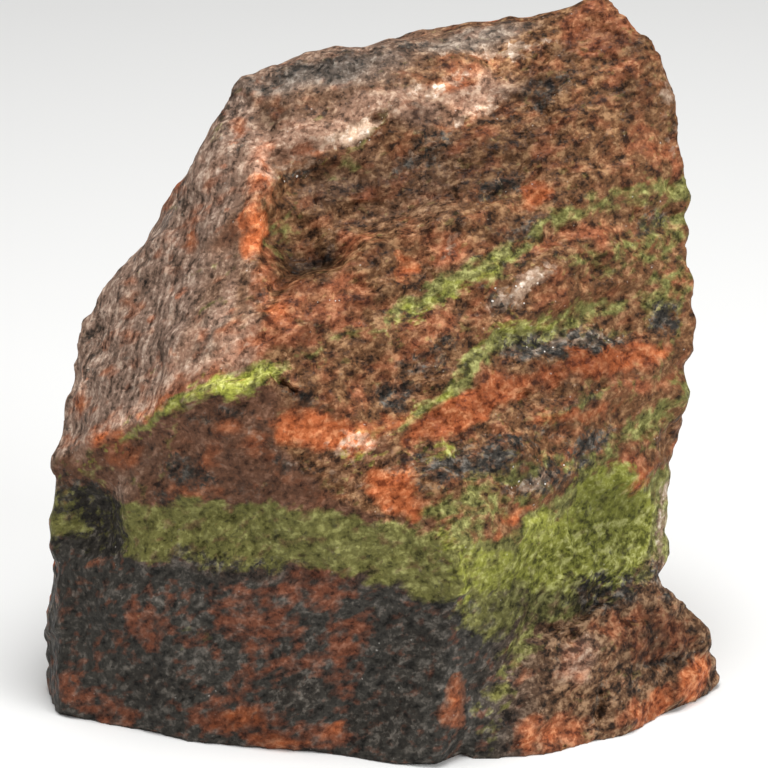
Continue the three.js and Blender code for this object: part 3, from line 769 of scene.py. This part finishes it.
# the stone's colours as a screen shows them: deep, body and bright grains
unakite = {
    "frontRock": ((44, 28, 17), (110, 75, 49), (174, 133, 95)),
    # grey film, whose greyness is partly a painted sheen on faces turned up to the light
    "filmAndSheen": ((76, 61, 51), (146, 119, 103), (212, 186, 166)),
    "wallRock": ((46, 31, 24), (108, 74, 56), (158, 118, 96)),
    "lowRock": ((29, 28, 26), (64, 61, 56), (120, 113, 105)),
    "greyRock": ((70, 65, 58), (128, 115, 104), (192, 181, 168)),
    "blush": ((96, 70, 56), (172, 134, 112), (226, 196, 172)),
    "rust": ((86, 45, 28), (150, 88, 58), (204, 138, 100)),
    "brick": ((58, 34, 26), (122, 73, 53), (166, 114, 90)),
    "orange": ((120, 57, 30), (187, 102, 60), (234, 154, 106)),
    "green": ((60, 58, 26), (119, 116, 65), (178, 176, 110)),
    "lime": ((92, 94, 34), (156, 158, 70), (222, 222, 140)),
    "dark": ((24, 22, 20), (57, 53, 48), (122, 115, 106)),
    "pale": ((124, 98, 80), (174, 148, 126), (230, 216, 200)),
    # painted glint: near-white colour that stands in for crystal faces catching the light
    "paintedGlint": ((190, 176, 160), (230, 222, 212), (255, 252, 246)),
    "clumpStretch": 1.6,  # times longer along the layers
    "slopeStreak": (0.258, 0.539, 0.803),  # the way that the left slope's streaks run
    "streakStretch": 3.0,
    "bigGrain": 0.7,  # mm
    "smallGrain": 0.28,
    # how a mineral is spread: clump in mm, share of luck that each grain has apart from its clump,
    # unevenness, gain of the chance, sharpness
    "draws": {
        "rust": (1.4, 0.0, 0.6, 1.1, 1.8),
        "brick": (0.9, 0.0, 0.95, 1.08, 1.5),
        "orange": (1.4, 0.0, 0.55, 1.1, 2.0),
        "green": (0.9, 0.0, 0.75, 1.15, 2.0),
        "lime": (0.7, 0.1, 0.9, 1.15, 1.8),
        "dark": (0.8, 0.4, 0.9, 1.15, 1.9),
        "pale": (0.7, 0.5, 0.9, 1.15, 1.9),
        "paintedGlint": (1.0, 1.0, 1.0, 0.22, 40.0),
    },
    "clumpLevels": (0.3, 0.7),  # noise levels from the outside to the inside of a clump
    "drawStep": 5.0,  # mm between the places that the minerals' clumps are drawn from
    # clouds: how many to a mm, detail, roughness
    "clumpCloud": (2.0, 0.5),  # its number to a mm comes from the clump's span
    "driftCloud": (1.4, 1.0, 0.5),
    "layerCloud": (1.25, 3.0, 0.55),
    "slopeCloud": (1.7, 3.0, 0.55),
    "fineCloud": (2.8, 2.0, 0.55),
    "drift": 0.3,  # mm that the grains' rims stray
    # weights of what makes a grain dark or bright
    "weights": {"bigGrain": 0.25, "smallGrain": 0.3, "fineCloud": 0.6, "cloud": 2.2},
    "deepToBody": (0.15, 0.5),  # grain's number over which the deep tint gives way to the body's
    "bodyToBright": (0.55, 0.95),
    "speck": (0.1, 0.42),  # distance from a grain's middle, in grains, over which a painted glint ends
    "tilt": 0.3,  # how far a grain's face leans
    "rimDepth": 0.6,  # of the bump's height that is taken off towards a grain's rim
    "bumpHeight": 0.17,  # mm
    "roughness": (0.36, 0.7),
    "gloss": 0.1,  # specular level
}
halfway = 0.5  # middle of a noise or of a grain's number


def fromScreen(color):  # linear colour, with the screen's curve undone
    knee, slope, lift, power = 0.04045, 12.92, 0.055, 2.4
    levels = [level / 255 for level in color]
    return (*[c / slope if c <= knee else ((c + lift) / (1 + lift)) ** power for c in levels], 1)


def addNode(tree, kind, inputs=None, **settings):
    node = tree.nodes.new("ShaderNode" + kind)
    for name, value in settings.items():
        setattr(node, name, value)
    for key, value in (inputs or {}).items():
        if isinstance(value, bpy.types.NodeSocket):
            tree.links.new(value, node.inputs[key])
        else:
            node.inputs[key].default_value = value
    return node


def useGroup(tree, group, inputs):
    return addNode(tree, "Group", inputs, node_tree=group).outputs


def mathNode(tree, operation, a, b, clamp=False):
    return addNode(tree, "Math", {0: a, 1: b}, operation=operation, use_clamp=clamp).outputs[0]


def vectorNode(tree, operation, vector, other):
    second = "Scale" if operation == "SCALE" else 1
    return addNode(tree, "VectorMath", {0: vector, second: other}, operation=operation).outputs[0]


def rangeNode(tree, value, fromEnds=(0.0, 1.0), toEnds=(0.0, 1.0)):
    ends = zip(("From Min", "From Max", "To Min", "To Max"), (*fromEnds, *toEnds))
    return addNode(tree, "MapRange", {"Value": value, **dict(ends)}).outputs[0]


def cloudNode(tree, place, scale, detail, roughness):
    return addNode(
        tree, "TexNoise", {"Vector": place, "Scale": scale, "Detail": detail, "Roughness": roughness}
    ).outputs


def mixNumber(tree, factor, a, b):
    return addNode(tree, "Mix", {0: factor, 2: a, 3: b}).outputs[0]


def mixColor(tree, factor, a, b):
    return addNode(tree, "Mix", {0: factor, 6: a, 7: b}, data_type="RGBA").outputs[2]


def newGroup(name, inputs, outputs):
    tree = bpy.data.node_groups.new(name, "ShaderNodeTree")
    for way, sockets in (("INPUT", inputs), ("OUTPUT", outputs)):
        for socketName, kind in sockets.items():
            tree.interface.new_socket(socketName, in_out=way, socket_type="NodeSocket" + kind)
    return tree, tree.nodes.new("NodeGroupInput").outputs, tree.nodes.new("NodeGroupOutput").inputs


def shareGroup():  # a mineral's share of a point, from its chance there and the grain's own number
    tree, given, result = newGroup(
        "mineralShare",
        {
            "Chance": "Float", "Grain": "Float", "Loners": "Float", "Vector": "Vector", "Seed": "Float",
            "Span": "Float", "Spread": "Float", "Gain": "Float", "Slope": "Float",
        },
        {"Share": "Float"},
    )
    scale = mathNode(tree, "DIVIDE", 1.0, given["Span"])
    moved = vectorNode(tree, "ADD", given["Vector"], given["Seed"])
    cloud = cloudNode(tree, moved, scale, *unakite["clumpCloud"])["Fac"]
    clump = rangeNode(tree, cloud, unakite["clumpLevels"])
    draw = mixNumber(tree, given["Loners"], clump, given["Grain"])
    even = mixNumber(tree, given["Spread"], halfway, draw)
    level = mathNode(tree, "SUBTRACT", mathNode(tree, "MULTIPLY", given["Chance"], given["Gain"]), even)
    share = mathNode(tree, "MULTIPLY", level, given["Slope"], clamp=True)
    tree.links.new(share, result["Share"])
    return tree


def tintGroup():  # deep, body and bright grains of one mineral
    tree, given, result = newGroup(
        "mineralTint",
        {"Grain": "Float", "Deep": "Color", "Body": "Color", "Bright": "Color"},
        {"Color": "Color"},
    )
    lowShare = rangeNode(tree, given["Grain"], unakite["deepToBody"])
    highShare = rangeNode(tree, given["Grain"], unakite["bodyToBright"])
    color = mixColor(tree, lowShare, given["Deep"], given["Body"])
    color = mixColor(tree, highShare, color, given["Bright"])
    tree.links.new(color, result["Color"])
    return tree


def grainGroup():  # crystal grains: chance numbers, rim distance and lean of each grain's face
    tree, given, result = newGroup(
        "crystalGrains",
        {"Vector": "Vector", "Size": "Float"},
        {"Chance": "Float", "Second": "Float", "Third": "Float", "Rim": "Float", "Lean": "Vector"},
    )
    scale = mathNode(tree, "DIVIDE", 1.0, given["Size"])
    cells = addNode(tree, "TexVoronoi", {"Vector": given["Vector"], "Scale": scale}, feature="F1")
    parts = addNode(tree, "SeparateColor", {"Color": cells.outputs["Color"]})
    lean = vectorNode(tree, "SUBTRACT", cells.outputs["Color"], (halfway, halfway, halfway))
    for number, part in zip(("Chance", "Second", "Third"), parts.outputs):
        tree.links.new(part, result[number])
    tree.links.new(cells.outputs["Distance"], result["Rim"])
    tree.links.new(lean, result["Lean"])
    return tree


def stretchGroup():  # coordinates that are shorter along an axis, so that what they draw is longer that way
    tree, given, result = newGroup(
        "stretchedPlace", {"Vector": "Vector", "Axis": "Vector", "Stretch": "Float"}, {"Vector": "Vector"}
    )
    along = addNode(tree, "VectorMath", {0: given["Vector"], 1: given["Axis"]}, operation="DOT_PRODUCT")
    cut = mathNode(tree, "SUBTRACT", mathNode(tree, "DIVIDE", 1.0, given["Stretch"]), 1.0)
    cut = mathNode(tree, "MULTIPLY", cut, along.outputs["Value"])
    shift = vectorNode(tree, "SCALE", given["Axis"], cut)
    moved = vectorNode(tree, "ADD", given["Vector"], shift)
    tree.links.new(moved, result["Vector"])
    return tree


def makeUnakite():
    material = bpy.data.materials.new("unakite")
    material.use_nodes = True
    tree = material.node_tree
    shader = tree.nodes["Principled BSDF"]
    shader.inputs["Specular IOR Level"].default_value = unakite["gloss"]
    mineralShare, tint, grains, stretched = shareGroup(), tintGroup(), grainGroup(), stretchGroup()

    def field(name):
        return addNode(tree, "Attribute", attribute_name=name).outputs["Fac"]

    def share(name, chance, number, seed):
        span, loners, spread, gain, slope = unakite["draws"][name]
        return useGroup(tree, mineralShare, {
            "Chance": chance, "Grain": number, "Loners": loners, "Vector": inLayers, "Seed": seed,
            "Span": span, "Spread": spread, "Gain": gain, "Slope": slope,
        })["Share"]

    def tinted(name, grain):
        deep, body, bright = [fromScreen(color) for color in unakite[name]]
        return useGroup(tree, tint, {"Grain": grain, "Deep": deep, "Body": body, "Bright": bright})["Color"]

    place = addNode(tree, "TexCoord").outputs["Object"]
    inMm = vectorNode(tree, "SCALE", place, 1 / mm)
    inLayers = useGroup(tree, stretched, {
        "Vector": inMm, "Axis": layers["along"], "Stretch": unakite["clumpStretch"],
    })["Vector"]
    downSlope = useGroup(tree, stretched, {
        "Vector": inMm, "Axis": unakite["slopeStreak"], "Stretch": unakite["streakStretch"],
    })["Vector"]
    # grains with uneven rims
    drift = cloudNode(tree, inMm, *unakite["driftCloud"])["Color"]
    drift = vectorNode(tree, "SUBTRACT", drift, (halfway, halfway, halfway))
    drifted = vectorNode(tree, "ADD", inMm, vectorNode(tree, "SCALE", drift, unakite["drift"]))
    big = useGroup(tree, grains, {"Vector": drifted, "Size": unakite["bigGrain"]})
    small = useGroup(tree, grains, {"Vector": drifted, "Size": unakite["smallGrain"]})
    layerCloud = cloudNode(tree, inLayers, *unakite["layerCloud"])["Fac"]
    slopeCloud = cloudNode(tree, downSlope, *unakite["slopeCloud"])["Fac"]
    fineCloud = cloudNode(tree, inMm, *unakite["fineCloud"])["Fac"]
    cloud = mixNumber(tree, field("filmAndSheen"), layerCloud, slopeCloud)
    # one number from dark to bright for every grain
    parts = {
        "bigGrain": big["Chance"], "smallGrain": small["Chance"], "fineCloud": fineCloud, "cloud": cloud,
    }
    grain = halfway
    for name, weight in unakite["weights"].items():
        part = mathNode(tree, "MULTIPLY", mathNode(tree, "SUBTRACT", parts[name], halfway), weight)
        grain = mathNode(tree, "ADD", grain, mathNode(tree, "MULTIPLY", part, field("contrast")))

    color = tinted("frontRock", grain)
    for rock in ("wallRock", "filmAndSheen", "greyRock", "blush", "lowRock"):
        color = mixColor(tree, field(rock), color, tinted(rock, grain))
    numbers = {  # each mineral covers the ones before it
        "rust": big["Second"], "brick": big["Second"], "green": small["Second"], "lime": big["Third"],
        "orange": small["Chance"], "dark": small["Third"], "pale": big["Third"], "paintedGlint": small["Second"],
    }
    speck = rangeNode(tree, small["Rim"], unakite["speck"], toEnds=(1.0, 0.0))
    for turn, (mineral, number) in enumerate(numbers.items()):
        chance = field(mineral)
        # painted glint: near-white specks in the base colour
        if mineral == "paintedGlint":  # only the middle of a grain shines
            chance = mathNode(tree, "MULTIPLY", chance, speck)
        covered = share(mineral, chance, number, turn * unakite["drawStep"])
        color = mixColor(tree, covered, color, tinted(mineral, grain))
    # the colour times the painted shade and painted highlight of the shades
    color = vectorNode(tree, "SCALE", color, field("shade"))
    tree.links.new(color, shader.inputs["Base Color"])

    rough = rangeNode(tree, small["Second"], toEnds=unakite["roughness"])
    tree.links.new(rough, shader.inputs["Roughness"])
    # every grain's face leans its own way, over a fine bump
    normal = addNode(tree, "NewGeometry").outputs["Normal"]
    lean = vectorNode(tree, "SCALE", small["Lean"], unakite["tilt"])
    leaned = vectorNode(tree, "ADD", normal, lean)
    leaned = addNode(tree, "VectorMath", {0: leaned}, operation="NORMALIZE").outputs[0]
    height = mathNode(tree, "ADD", mathNode(tree, "MULTIPLY", big["Rim"], -unakite["rimDepth"]), cloud)
    bump = addNode(tree, "Bump", {
        "Height": height, "Strength": 1.0, "Distance": unakite["bumpHeight"] * mm, "Normal": leaned,
    }).outputs[0]
    tree.links.new(bump, shader.inputs["Normal"])
    return material


makeCamera()
makeStudio()
noise.seed_set(stoneShape["seed"])
stone = fineCopy(frame["nodes"]["stone"])
print("fine surface:", len(stone.data.vertices), "points,", len(stone.data.polygons), "faces")
points, normals = pointsAndNormals(stone)
shares = breakShares(normals)
grainValues = grainChances(stone, points, normals, shares)
print("minerals placed:", ", ".join(grainValues))
roughen(stone, shares, formHeights(stone, points))
storeChances(stone, grainValues)
print("relief done")
stone.data.materials.append(makeUnakite())
print("material done")
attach(stone, "root")
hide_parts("stone")
